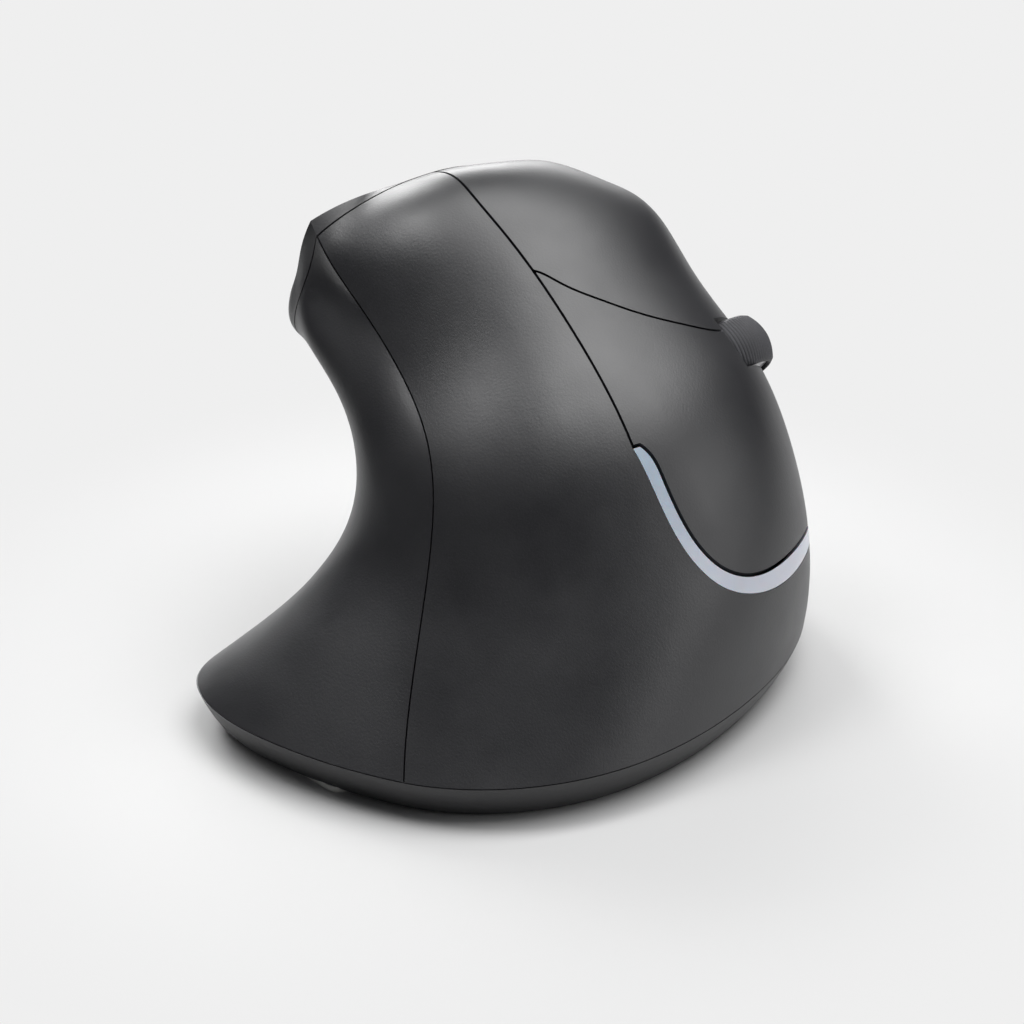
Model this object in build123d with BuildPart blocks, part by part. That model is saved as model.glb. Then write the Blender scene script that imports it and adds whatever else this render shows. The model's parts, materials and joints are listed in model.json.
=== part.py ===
from build123d import *
import math
import os

import numpy as np

os.makedirs("parts", exist_ok=True)

# Driving sizes of the housing, in millimetres. +Z is up, +Y is the front, +X is the palm side.
half_width = 40.0
half_length = 50.0
height = 76.2
crease_height = 7.0
wall = 2.0
seam_gap = 0.25
crease_gap = 0.15
panel_depth = 2.6
panel_lean = -7.0
panel_reach = 20.0
overrun = 60.0

# Fits
running_clearance = 0.06
press_clearance = 0.01
touch_clearance = 0.1
part_clearance = 0.3

# Base
base_foot = 0.6
base_middle = 3.2
base_middle_inset = 1.8
base_foot_inset = 3.6
floor_top = 2.6
skate_depth = 0.3
base_room_rise = 1.0
skate_wide = 5.0
front_skate_long = 24.0
rear_skate_long = 20.0

# Screws that hold the housing, and their posts and bosses
screw_radius = 1.1
screw_head_radius = 2.1
screw_head_height = 1.4
screw_head_depth = 1.6
screw_end = 10.0
screw_play = 0.15
post_radius = 3.0
post_top = 6.9
boss_radius = 2.7
boss_top = 18.0
boss_rib_reach = 12.0
boss_rib_thick = 1.6

# Buttons and light strip, laid out on a plane that leans with the palm side
button_lean = 44.0
button_gap = 0.4
front_gap = 0.6
strip_gap = 0.45
strip_seat_gap = 0.1
wheel_slot_gap = 0.5
wheel_slot_rear = 30.5
slot_bottom = 25.6
wheel_room_gap = 0.9
left_base = 36.0
right_base = 28.0
base_line = -40.0
ridge_line = -62.0
ridge_base = 20.0
ridge_gap = 1.4
base_drop = 1.0
button_front = 38.0

# Hinges of the two big buttons
hinge_out = 37.5
hinge_pin_radius = 0.9
hinge_knuckle_radius = 2.0
hinge_lug = 2.0
left_hinge_forward = 11.0
left_hinge_start = -60.0
left_hinge_end = -48.0
right_hinge_forward = 9.0
right_hinge_start = -43.0
right_hinge_end = -15.0
right_knuckle = 6.0

# Inner frame and click board, both parallel to the leaning plane
frame_top = 30.5
frame_thickness = 1.6
click_board_thickness = 1.2
leg_radius = 2.6
guide_post_radius = 1.2
guide_post_top = 39.0
guide_forward = 18.5
guide_offset = 11.1
fork_gap = 1.6
fork_rear = 21.5
click_board_inset = 0.6
click_board_rear = 15.0
led_long = 3.2
led_wide = 1.6
led_high = 1.0
led_across = -6.6
led_forward = 16.0

# Click switches
switch_long = 12.8
switch_wide = 5.8
switch_high = 6.5
plunger_radius = 0.9
plunger_high = 0.7
plunger_sink = 1.5
plunger_room = 0.8
switch_forward = 27.5
left_switch_across = -46.0
right_switch_across = -12.0
rib_long = 3.0
rib_wide = 4.0

# Scroll wheel and its cradle
wheel_across = -26.5
wheel_forward = 34.0
wheel_out = 35.2
wheel_radius = 11.5
wheel_width = 8.2
wheel_barrel = 1.3
hub_radius = 9.5
hub_face_depth = 0.6
hub_groove_radius = 5.6
hub_groove_width = 0.9
hub_groove_depth = 0.7
axle_radius = 1.25
hub_boss_radius = 2.4
arm_gap = 0.3
arm_thickness = 1.5
arm_end = 36.5
arm_bottom = 33.0
arm_top = 37.7
bridge_long = 4.0
bridge_half_width = 13.4
bridge_bottom = 34.0
tongue_wide = 5.0
tongue_start = 11.0
middle_switch_forward = 13.0
middle_switch_side = 6.0
middle_switch_high = 3.5
encoder_side = 7.5
encoder_thick = 3.2
encoder_rise = 2.6
encoder_bottom = 32.6

# Side buttons on the thumb's overhang
side_face_shares = (-0.63, 0.10, 0.615)
side_lean = 34.0
side_yaw = 9.0
side_post_gap = 1.9
side_button_length = 15.0
side_button_width = 5.4
side_button_pitch = 15.6
side_button_proud = 1.0
side_button_gap = 0.3
side_flange = 1.0
side_flange_depth = 4.3
side_flange_thickness = 1.0
side_board_thickness = 1.0
side_switch_long = 6.0
side_switch_wide = 4.0
side_switch_high = 2.8
side_plunger_high = 1.0
side_plunger_radius = 0.8
side_board_post_radius = 1.5
side_board_width = 7.0

# Main board and what it carries
board_bottom = 9.0
board_thickness = 1.2
board_left = -17.0
board_right = 18.5
board_rear = -28.0
board_front = 37.0
port_shelf_front = 42.5
board_post_radius = 2.6
battery_long = 28.0
battery_wide = 24.0
battery_high = 7.0
battery_gap = 0.3
battery_forward = -14.0
sensor_side = 8.0
sensor_high = 3.0
sensor_forward = 20.0
lens_side = 7.0
lens_high = 4.2
lens_bottom = 1.2
sensor_window_side = 7.6
port_long = 7.4
port_wide = 8.9
port_high = 3.2
port_wall = 0.3
port_across = 10.0
port_hole_gap = 0.3
port_tongue_wide = 6.0
port_tongue_high = 0.7
port_front = 46.25

# Power slider and mode button under the base
power_across = -12.0
power_forward = -5.0
power_slot_long = 7.0
power_slot_wide = 3.0
power_travel = 2.0
power_flange = 1.2
power_flange_high = 0.8
power_switch_high = 3.5
power_stem_wide = 1.6
mode_across = 12.0
mode_forward = -5.0
mode_radius = 2.6
mode_flange = 1.0
mode_travel = 0.3
tact_side = 4.5
tact_high = 2.4
tact_plunger_high = 0.6
tact_plunger_radius = 0.7
mode_stem_radius = 1.2
floor_clearance = 0.1
head_rise = 0.3
knob_rib_high = 0.4
knob_rib_long = 0.6

# Skin levels from the crease up. Each lower level holds its rise and its climb towards +X,
# then its points from the rear seam round the palm side, the front seam and the thumb side:
# (shares of the half width, shares of the half length).
lower_level_shares = [
    (None, 0.0, [(0.480, -0.856), (0.780, -0.648), (0.955, -0.368), (0.993, -0.048),
                 (0.930, 0.272), (0.780, 0.602), (0.480, 0.882), (0.055, 0.992),
                 (-0.370, 0.942), (-0.695, 0.722), (-0.845, 0.352), (-0.857, -0.088),
                 (-0.764, -0.534), (-0.590, -0.938), (-0.302, -0.999), (0.105, -0.958)]),
    (0.291, 0.028, [(0.255, -0.628), (0.517, -0.508), (0.730, -0.288), (0.855, -0.008),
                    (0.880, 0.272), (0.800, 0.572), (0.542, 0.832), (0.055, 0.942),
                    (-0.320, 0.872), (-0.570, 0.662), (-0.657, 0.312), (-0.632, -0.048),
                    (-0.532, -0.348), (-0.395, -0.608), (-0.207, -0.694), (0.018, -0.688)]),
    (0.419, 0.046, [(0.150, -0.504), (0.380, -0.418), (0.580, -0.228), (0.718, 0.012),
                    (0.776, 0.272), (0.726, 0.572), (0.493, 0.802), (0.055, 0.912),
                    (-0.270, 0.842), (-0.508, 0.632), (-0.583, 0.312), (-0.558, -0.008),
                    (-0.483, -0.248), (-0.370, -0.452), (-0.220, -0.528), (-0.045, -0.538)]),
    (0.573, 0.102, [(0.018, -0.398), (0.230, -0.318), (0.392, -0.168), (0.505, 0.012),
                    (0.568, 0.252), (0.555, 0.532), (0.392, 0.742), (0.030, 0.862),
                    (-0.245, 0.802), (-0.470, 0.612), (-0.545, 0.312), (-0.557, 0.032),
                    (-0.532, -0.188), (-0.445, -0.368), (-0.307, -0.438), (-0.145, -0.434)]),
    (0.762, 0.234, [(-0.320, -0.274), (-0.120, -0.198), (0.017, -0.068), (0.117, 0.082),
                    (0.167, 0.292), (0.142, 0.532), (0.030, 0.712), (-0.195, 0.832),
                    (-0.357, 0.762), (-0.507, 0.552), (-0.595, 0.312), (-0.632, 0.052),
                    (-0.645, -0.168), (-0.607, -0.338), (-0.520, -0.368), (-0.420, -0.338)]),
    (1.035, 0.456, [(-0.570, -0.244), (-0.432, -0.168), (-0.319, -0.028), (-0.244, 0.132),
                    (-0.206, 0.322), (-0.231, 0.542), (-0.306, 0.702), (-0.419, 0.802),
                    (-0.520, 0.722), (-0.621, 0.512), (-0.721, 0.272), (-0.784, 0.032),
                    (-0.809, -0.168), (-0.796, -0.318), (-0.734, -0.338), (-0.646, -0.298)]),
]
# The head swells once more before its cap:
# (shares of the half width, shares of the half length, shares of the height).
head_swell_shares = [
    (-0.754, -0.229, 0.838), (-0.686, -0.157, 0.893), (-0.599, -0.035, 0.951),
    (-0.511, 0.142, 0.987), (-0.436, 0.358, 0.990), (-0.398, 0.547, 0.958),
    (-0.398, 0.693, 0.897), (-0.500, 0.765, 0.852), (-0.585, 0.700, 0.806),
    (-0.685, 0.493, 0.757), (-0.778, 0.268, 0.708), (-0.845, 0.036, 0.676),
    (-0.885, -0.155, 0.664), (-0.896, -0.294, 0.687), (-0.865, -0.301, 0.729),
    (-0.810, -0.262, 0.781)]
# The flat cap stands nearly upright: X is a base share plus a share of Y and of Z,
# and its points are (shares of the half length, shares of the height).
cap_plane_shares = (-1.112, 0.330, 0.298)
cap_shares = [
    (-0.211, 0.911), (-0.050, 0.945), (0.104, 0.958), (0.244, 0.967),
    (0.430, 0.938), (0.570, 0.908), (0.665, 0.880), (0.705, 0.845),
    (0.655, 0.802), (0.470, 0.752), (0.260, 0.705), (0.040, 0.678),
    (-0.130, 0.672), (-0.247, 0.700), (-0.253, 0.764), (-0.235, 0.840)]
front_seam_station = 7
tip_stations = [12, 13, 14, 15]
row_count = 16
fairing_rounds = 2
fairing_share = 0.05
fairing_weights = [(-2, 1), (-1, -4), (0, 6), (1, -4), (2, 1)]
ring_steps = 14
rim_share = 0.6
head_share = 1.5


# Skin grid
def lower_level(rise_share, climb_share, shares):
    """Points of one lower level, whose plane climbs towards +X."""
    rise = crease_height if rise_share is None else rise_share * height
    return [(x * half_width, y * half_length, rise + climb_share * x * height) for x, y in shares]


def head_swell():
    """Points of the head's fullest level."""
    return [(x * half_width, y * half_length, z * height) for x, y, z in head_swell_shares]


def cap_level():
    """Points of the head's flat cap."""
    base, per_y, per_z = cap_plane_shares
    return [((base + per_y * y + per_z * z) * half_width, y * half_length, z * height)
            for y, z in cap_shares]


def smooth_line(points, closed=False):
    """One smooth curve through the points."""
    with BuildLine() as path:
        Spline(*[tuple(point) for point in points], periodic=closed)
    return path.edge()


def faired(rows):
    """Rows with the small waves between neighbouring points evened out, round and then up the skin.

    Round the skin, the stations of the base's tip and the two rows at the cap keep their corners.
    """
    for _ in range(fairing_rounds):
        fourth = sum(weight * np.roll(rows, step, axis=1) for step, weight in fairing_weights)
        fourth[:, tip_stations] = 0
        fourth[-2:] = 0
        rows = rows - fairing_share * fourth
        fourth = sum(weight * rows[2 + step:len(rows) - 2 + step] for step, weight in fairing_weights)
        rows[2:-2] -= fairing_share * fourth
    return rows


def build_grid():
    """Rows of points up the skin, evenly spaced along a smooth rail at each station."""
    levels = [lower_level(*level) for level in lower_level_shares]
    levels += [head_swell(), cap_level()]
    rails = [smooth_line(points) for points in zip(*levels)]
    rows = [[tuple(rail @ (row / (row_count - 1))) for rail in rails] for row in range(row_count)]
    return faired(np.array(rows))


def unit(vectors):
    """Vectors scaled to length one."""
    return vectors / np.linalg.norm(vectors, axis=-1, keepdims=True)


grid = build_grid()
cap_y_share, cap_z_share = cap_plane_shares[1:]
cap_out = unit(np.array([-1 / half_width, cap_y_share / half_length, cap_z_share / height]))
cap_middle = grid[-1].mean(axis=0)


def pushed(amount, rim_amount=0, head_amount=0):
    """The grid moved in along the skin's normals; the foot stays level, the head's end flat."""
    around = np.roll(grid, -1, axis=1) - np.roll(grid, 1, axis=1)
    upward = np.gradient(grid, axis=0)
    normals = unit(np.cross(around, upward))
    normals[0, :, 2] = 0
    normals[-1] -= np.outer(normals[-1] @ cap_out, cap_out)
    moved = grid - amount * unit(normals)
    moved[-1] -= rim_amount * unit(normals[-1]) + head_amount * cap_out
    return moved


def run_along(loop, start, end):
    """Smooth run of a closed loop between two places on it, through evenly spaced points."""
    steps = [start + (end - start) * step / ring_steps for step in range(ring_steps + 1)]
    return smooth_line([loop @ step for step in steps])


def ring(row):
    """One closed ring of the skin, in a palm run and a thumb run that meet at the seams."""
    loop = smooth_line(row, closed=True)
    front = loop.param_at_point(Vector(*row[front_seam_station]))
    return Wire([run_along(loop, 0, front), run_along(loop, front, 1)])


def skin_solid(rows):
    """Solid inside a skin grid."""
    return Solid.make_loft([ring(row) for row in rows])


def inner_skin(depth):
    """Solid whose skin lies a depth inside the housing, and further inside at the head's cap."""
    rows = pushed(depth, depth * rim_share, depth * head_share)
    lowered = rows[:1] - np.array([0, 0, crease_height / 2])
    return skin_solid(np.concatenate([lowered, rows[:-2], rows[-1:]]))


with BuildPart() as outer:
    add(skin_solid(grid))
with BuildPart() as middle:
    add(inner_skin(wall / 2))


# Planes
lean = math.radians(button_lean)
lean_across = Vector(math.cos(lean), 0, -math.sin(lean))
lean_out = Vector(math.sin(lean), 0, math.cos(lean))
forward = Vector(0, 1, 0)


def lean_point(across, ahead, out):
    """Point given along the leaning plane's slope, forward, and out of it."""
    return lean_across * across + forward * ahead + lean_out * out


def lean_plane(out):
    """Plane parallel to the button plane, at a height out of it."""
    return Plane(origin=lean_out * out, x_dir=lean_across, z_dir=lean_out)


def cross_plane(across):
    """Plane square to the leaning slope, whose sketch axes run forward and out."""
    return Plane(origin=lean_across * across, x_dir=forward, z_dir=lean_across)


cap_plane = Plane(origin=Vector(*cap_middle), x_dir=forward, z_dir=Vector(*cap_out))
panel_base = cap_plane.offset(-panel_depth)
panel_seam = Plane(origin=panel_base.origin, x_dir=panel_base.x_dir,
                   z_dir=panel_base.z_dir.rotate(Axis(Vector(), panel_base.x_dir), panel_lean))


def panel_block(shift):
    """Everything outside the panel's seam, round the head only."""
    with BuildPart(mode=Mode.PRIVATE) as block:
        with BuildSketch(panel_seam.offset(shift)):
            Rectangle(2 * overrun, 2 * panel_reach)
        extrude(amount=overrun)
    return block.part


# Walls of the two covers, which meet at the rear seam and the front seam
def seam_run(row, palm_side, gap):
    """The palm or thumb run of one ring, cut back by half a gap from both seams."""
    loop = smooth_line(row, closed=True)
    front = loop.param_at_point(Vector(*row[front_seam_station]))
    pull = gap / 2 / loop.length
    start, end = (0, front) if palm_side else (front, 1)
    return run_along(loop, start + pull, end - pull)


def wall_ring(outer_row, inner_row, palm_side, gap):
    """Closed ring round the wall's thickness at one level."""
    outside = seam_run(outer_row, palm_side, gap)
    inside = seam_run(inner_row, palm_side, gap)
    front_end = Edge.make_line(outside @ 1, inside @ 1)
    rear_end = Edge.make_line(inside @ 0, outside @ 0)
    return Wire([outside, front_end, inside, rear_end])


def cover_wall(palm_side, gap):
    """Wall of one side, from the crease to the panel's seam, with a gap at its seams."""
    inner_rows = pushed(wall, wall * rim_share)
    inner_rows[-2] = (inner_rows[-3] + inner_rows[-1]) / 2
    rings = [wall_ring(*rows, palm_side, gap) for rows in zip(grid, inner_rows)]
    with BuildPart(mode=Mode.PRIVATE) as cover:
        add(Solid.make_loft(rings))
        split(bisect_by=Plane.XY.offset(crease_height + crease_gap), keep=Keep.TOP)
        add(panel_block(-gap / 2), mode=Mode.SUBTRACT)
    return cover.part


palm_wall = cover_wall(True, seam_gap)
thumb_wall = cover_wall(False, seam_gap)
button_wall = cover_wall(True, ridge_gap)

# The flat panel that closes the head
with BuildPart() as thumb_panel:
    add(outer.part)
    add(panel_block(seam_gap / 2), mode=Mode.INTERSECT)


# Outlines on the leaning plane: shares of the half length, down the slope then forward
rear_edge_shares = [(-1.900, 0.226), (-1.650, 0.190), (-1.400, 0.152), (-1.298, 0.126),
                    (-1.148, 0.114), (-0.986, 0.112), (-0.706, 0.090), (-0.510, 0.062), (-0.350, 0.042)]
strip_outer_shares = [(-0.350, 0.042), (-0.216, 0.048), (-0.076, 0.062), (0.046, 0.102),
                      (0.130, 0.168), (0.178, 0.258), (0.196, 0.376), (0.182, 0.494),
                      (0.140, 0.624), (0.070, 0.820)]
strip_inner_shares = [(-0.346, 0.066), (-0.300, 0.084), (-0.228, 0.088), (-0.116, 0.096),
                      (-0.008, 0.124), (0.076, 0.178), (0.128, 0.260), (0.144, 0.372),
                      (0.132, 0.472), (0.092, 0.620), (0.030, 0.820)]
split_shares = [(-0.992, 0.050), (-0.986, 0.112), (-0.910, 0.162), (-0.808, 0.240),
                (-0.740, 0.306), (-0.678, 0.382), (-0.622, 0.472), (-0.586, 0.550),
                (-0.574, 0.640)]
ridge_beyond_shares = [(-1.900, 0.840), (-1.900, 0.226)]


def lean_points(shares):
    """Points on the leaning plane from shares of the half length."""
    return [(across * half_length, ahead * half_length) for across, ahead in shares]


def cut_front(limit):
    """Cut a sketch off in front of a line across it."""
    with Locations((0, limit + overrun / 2)):
        Rectangle(4 * overrun, overrun, mode=Mode.SUBTRACT)


with BuildSketch(lean_plane(0)) as opening_face:
    with BuildLine():
        rear_run = Spline(*lean_points(rear_edge_shares))
        strip_run = Spline(*lean_points(strip_outer_shares))
        Polyline(strip_run @ 1, *lean_points(ridge_beyond_shares))
    make_face()
    cut_front(button_front)
with BuildSketch(lean_plane(0)) as strip_face:
    with BuildLine():
        outer_run = Spline(*lean_points(strip_outer_shares))
        inner_run = Spline(*lean_points(strip_inner_shares))
        Line(outer_run @ 0, inner_run @ 0)
        Line(outer_run @ 1, inner_run @ 1)
    make_face()
    cut_front(button_front)
with BuildSketch(lean_plane(0)) as split_band:
    with BuildLine():
        Spline(*lean_points(split_shares))
        offset(amount=button_gap / 2)
    make_face()
slot_left = wheel_across - wheel_width / 2 - wheel_slot_gap
slot_right = wheel_across + wheel_width / 2 + wheel_slot_gap
with BuildSketch(lean_plane(0)) as slot_face:
    with Locations(((slot_left + slot_right) / 2, wheel_slot_rear + overrun / 2)):
        Rectangle(slot_right - slot_left, overrun)
with BuildSketch(lean_plane(0)) as strip_room:
    add(strip_face.sketch)
    offset(amount=strip_gap)
with BuildSketch(lean_plane(0)) as buttons_face:
    add(opening_face.sketch)
    offset(amount=-button_gap)
    add(split_band.sketch, mode=Mode.SUBTRACT)
    add(slot_face.sketch, mode=Mode.SUBTRACT)
    add(strip_room.sketch, mode=Mode.SUBTRACT)
    cut_front(button_front - front_gap)


def redrawn(face):
    """A face with each curved edge drawn again as one smooth line through points on it."""
    edges = []
    for edge in face.outer_wire().edges():
        if edge.geom_type == GeomType.LINE:
            edges.append(edge)
        else:
            edges.append(smooth_line([edge @ (step / ring_steps) for step in range(ring_steps + 1)]))
    return Face(Wire(edges))


button_faces = [redrawn(face) for face in buttons_face.sketch.faces().sort_by(Axis.X)]


def lean_prism(face, base):
    """Prism over a face of the leaning plane, from a height outward."""
    return extrude(face.moved(Location(lean_out * base)), amount=2 * overrun, dir=lean_out)


def side_part(face, line, side):
    """The part of a leaning face to the right (1) or left (-1) of a line along it."""
    with BuildSketch(lean_plane(0), mode=Mode.PRIVATE) as kept:
        add(face)
        with Locations((line + side * 2 * overrun, 0)):
            Rectangle(4 * overrun, 4 * overrun, mode=Mode.INTERSECT)
    return kept.sketch


def stepped_prism(face, drop):
    """Prism over a face, whose foot is lower on the palm side and over the ridge."""
    with BuildPart(mode=Mode.PRIVATE) as prism:
        add(lean_prism(face, left_base - drop))
        for line, side, base in ((base_line, 1, right_base), (ridge_line, -1, ridge_base)):
            reach = max(side * Vector(*corner).dot(lean_across) for corner in face.vertices())
            if reach > side * line:
                add(lean_prism(side_part(face, line, side), base - drop))
    return prism.part


def lean_box(across, ahead, out):
    """Box square to the leaning plane, from pairs of ends across, ahead and out."""
    with BuildPart(mode=Mode.PRIVATE) as block:
        with BuildSketch(lean_plane(out[0])):
            with Locations(((across[0] + across[1]) / 2, (ahead[0] + ahead[1]) / 2)):
                Rectangle(across[1] - across[0], ahead[1] - ahead[0])
        extrude(amount=out[1] - out[0])
    return block.part


def cross_rod(across, ahead, out, radius):
    """Round rod across the slope, between two places."""
    with BuildPart(mode=Mode.PRIVATE) as rod:
        with BuildSketch(cross_plane(across[0])):
            with Locations((ahead, out)):
                Circle(radius)
        extrude(amount=across[1] - across[0])
    return rod.part


def upright_rod(place, bottom, top, radius):
    """Round rod along Z at a place (x, y)."""
    with BuildPart(mode=Mode.PRIVATE) as rod:
        with BuildSketch(Plane.XY.offset(bottom)):
            with Locations(place):
                Circle(radius)
        extrude(amount=top - bottom)
    return rod.part


def upright_box(across, ahead, up):
    """Box from pairs of ends along X, Y and Z."""
    with BuildPart(mode=Mode.PRIVATE) as block:
        with BuildSketch(Plane.XY.offset(up[0])):
            with Locations(((across[0] + across[1]) / 2, (ahead[0] + ahead[1]) / 2)):
                Rectangle(across[1] - across[0], ahead[1] - ahead[0])
        extrude(amount=up[1] - up[0])
    return block.part


def inside_skin(solid):
    """The part of a rib or boss that stays inside the middle of the skin."""
    return solid & middle.part


def around(place, size):
    """Pair of ends of a size centred on a place."""
    return (place - size / 2, place + size / 2)


# Places on the floor: shares of the half width and of the half length
main_boss_shares = [(0.770, 0.240), (0.660, -0.450), (0.600, 0.560)]
thumb_boss_shares = [(-0.400, -0.660), (-0.630, 0.420), (-0.150, 0.830), (0.150, -0.720)]
leg_shares = [(0.350, 0.140), (0.350, 0.620), (-0.250, 0.160), (-0.250, 0.600)]


def floor_places(shares):
    """Places (x, y) on the floor from shares of the half width and half length."""
    return [(across * half_width, ahead * half_length) for across, ahead in shares]


main_bosses = floor_places(main_boss_shares)
thumb_bosses = floor_places(thumb_boss_shares)
main_ribs = [Vector(1, 0, 0), Vector(1, 0, 0), Vector(1, 0, 0)]
thumb_ribs = [Vector(0, -1, 0), Vector(-1, 0, 0), Vector(0, 1, 0), Vector(0, -1, 0)]
legs = floor_places(leg_shares)

# Side buttons' plane on the overhang, whose sketch axes run forward and down the face
side_turn = math.radians(side_yaw)
side_dip = math.radians(side_lean)
side_out = Vector(-math.cos(side_dip) * math.cos(side_turn),
                  math.cos(side_dip) * math.sin(side_turn), -math.sin(side_dip))
side_forward = Vector(math.sin(side_turn), math.cos(side_turn), 0)
side_middle = Vector(side_face_shares[0] * half_width, side_face_shares[1] * half_length,
                     side_face_shares[2] * height)


def side_plane(depth):
    """Plane parallel to the side buttons' face, at a depth inside it."""
    return Plane(origin=side_middle - side_out * depth, x_dir=side_forward, z_dir=side_out)


def side_box(ahead, down, depth, corner=0):
    """Box square to the side buttons' face, from pairs of ends; depth runs inward."""
    with BuildPart(mode=Mode.PRIVATE) as block:
        with BuildSketch(side_plane(depth[1])):
            with Locations(((ahead[0] + ahead[1]) / 2, (down[0] + down[1]) / 2)):
                if corner:
                    RectangleRounded(ahead[1] - ahead[0], down[1] - down[0], corner)
                else:
                    Rectangle(ahead[1] - ahead[0], down[1] - down[0])
        extrude(amount=depth[1] - depth[0])
    return block.part


def side_rod(ahead, depth, radius):
    """Round rod square to the side buttons' face; depth runs inward."""
    with BuildPart(mode=Mode.PRIVATE) as rod:
        with BuildSketch(side_plane(depth[1])):
            with Locations((ahead, 0)):
                Circle(radius)
        extrude(amount=depth[1] - depth[0])
    return rod.part


side_places = {"rear": -side_button_pitch / 2, "front": side_button_pitch / 2}
side_post_place = side_button_pitch / 2 + side_button_length / 2 + side_post_gap
side_flange_back = side_flange_depth + side_flange_thickness
side_plunger_tip = side_flange_back + touch_clearance
side_switch_top = side_plunger_tip + side_plunger_high
side_board_face = side_switch_top + side_switch_high
with BuildPart() as proud:
    add(skin_solid(pushed(-side_button_proud)))


# Housing covers
port_middle = board_bottom + board_thickness + port_high / 2
wheel_slot = lean_box((slot_left, slot_right), (wheel_slot_rear, overrun), (slot_bottom, 2 * overrun))
wheel_room = cross_rod((slot_left, slot_right), wheel_forward, wheel_out, wheel_radius + wheel_room_gap)
with BuildPart() as palm_half:
    add(palm_wall)
    add(stepped_prism(opening_face.sketch, base_drop), mode=Mode.SUBTRACT)
    add(wheel_slot, mode=Mode.SUBTRACT)
    add(wheel_room, mode=Mode.SUBTRACT)
    add(upright_box(around(port_across, port_wide + 2 * port_hole_gap), (port_front - overrun / 4, overrun),
                    around(port_middle, port_high + 2 * port_hole_gap)), mode=Mode.SUBTRACT)


def boss_set(places, ribs):
    """Screw bosses up into the skin, each with a rib that runs out to the wall."""
    with BuildPart(mode=Mode.PRIVATE) as bosses:
        for place, rib in zip(places, ribs):
            add(inside_skin(upright_rod(place, crease_height + crease_gap, boss_top, boss_radius)))
            end = Vector(*place) + rib * boss_rib_reach
            side = Vector(rib.Y, rib.X) * boss_rib_thick / 2
            corners = [Vector(*place) + side, Vector(*place) - side, end - side, end + side]
            with BuildPart(mode=Mode.PRIVATE) as gusset:
                with BuildSketch(Plane.XY.offset(crease_height + crease_gap)):
                    with BuildLine():
                        Polyline(*corners, close=True)
                    make_face()
                extrude(amount=boss_top - crease_height - crease_gap)
            add(inside_skin(gusset.part))
    return bosses.part


def pilot_holes(places):
    """Screw holes of a set of bosses."""
    with BuildPart(mode=Mode.PRIVATE) as holes:
        for place in places:
            add(upright_rod(place, 0, screw_end + screw_play, screw_radius + screw_play))
    return holes.part


palm_pieces = palm_half.part.solids().sort_by(SortBy.VOLUME)
with BuildPart() as front_trim:
    add(palm_pieces[-2])
with BuildPart() as main_cover:
    add(palm_pieces[-1])
    add(boss_set(main_bosses, main_ribs))
    add(pilot_holes(main_bosses), mode=Mode.SUBTRACT)

with BuildPart() as thumb_cover:
    add(thumb_wall)
    add(boss_set(thumb_bosses, thumb_ribs))
    for ahead in (-side_post_place, side_post_place):
        add(inside_skin(side_rod(ahead, (-side_board_face, side_board_face), side_board_post_radius)))
    add(pilot_holes(thumb_bosses), mode=Mode.SUBTRACT)
    add(wheel_slot, mode=Mode.SUBTRACT)
    add(wheel_room, mode=Mode.SUBTRACT)
    for ahead in side_places.values():
        hole = side_button_length + 2 * side_button_gap, side_button_width + 2 * side_button_gap
        add(side_box(around(ahead, hole[0]), around(0, hole[1]), (-side_board_face, side_flange_depth),
                     hole[1] / 2 - side_button_gap), mode=Mode.SUBTRACT)

# Big buttons
def button(face, rib_place, knuckles, pin_place):
    """Skin over a button's face, with its hinge knuckles and the rib over its switch."""
    with BuildPart(mode=Mode.PRIVATE) as skin:
        add(button_wall)
        add(stepped_prism(face, 0), mode=Mode.INTERSECT)
    with BuildPart(mode=Mode.PRIVATE) as plate:
        add(skin.part.solids().sort_by(SortBy.VOLUME)[-1])
        rib_across = around(rib_place, rib_wide)
        rib_ahead = around(switch_forward, rib_long)
        add(inside_skin(lean_box(rib_across, rib_ahead, (rib_bottom, 2 * overrun))))
        for knuckle in knuckles:
            lug = lean_box(knuckle, around(pin_place, 2 * hinge_knuckle_radius), (hinge_out, 2 * overrun))
            add(inside_skin(lug))
            add(cross_rod(knuckle, pin_place, hinge_out, hinge_knuckle_radius))
        bore_beyond = hinge_lug + 2 * part_clearance
        bore = (knuckles[0][0] - bore_beyond, knuckles[-1][1] + bore_beyond)
        add(cross_rod(bore, pin_place, hinge_out, hinge_pin_radius + running_clearance),
            mode=Mode.SUBTRACT)
        add(wheel_room, mode=Mode.SUBTRACT)
    return plate.part


plunger_top = frame_top + click_board_thickness + switch_high + plunger_high
rib_bottom = plunger_top + touch_clearance
left_knuckle = (left_hinge_start + hinge_lug + part_clearance, left_hinge_end - hinge_lug - part_clearance)
right_inner_start = right_hinge_start + hinge_lug + part_clearance
right_inner_end = right_hinge_end - hinge_lug - part_clearance
right_knuckles = [(right_inner_start, right_inner_start + right_knuckle),
                  (right_inner_end - right_knuckle, right_inner_end)]
with BuildPart() as left_button:
    add(button(button_faces[0], left_switch_across, [left_knuckle], left_hinge_forward))
with BuildPart() as right_button:
    add(button(button_faces[-1], right_switch_across, right_knuckles, right_hinge_forward))
with BuildSketch(lean_plane(0)) as strip_seat:
    add(strip_face.sketch)
    offset(amount=-strip_seat_gap)
with BuildPart() as light_strip:
    add(palm_wall)
    add(stepped_prism(redrawn(strip_seat.sketch.face()), 0), mode=Mode.INTERSECT)
with BuildPart() as left_hinge_pin:
    add(cross_rod((left_hinge_start, left_hinge_end), left_hinge_forward, hinge_out, hinge_pin_radius))
with BuildPart() as right_hinge_pin:
    add(cross_rod((right_hinge_start, right_hinge_end), right_hinge_forward, hinge_out, hinge_pin_radius))


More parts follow.
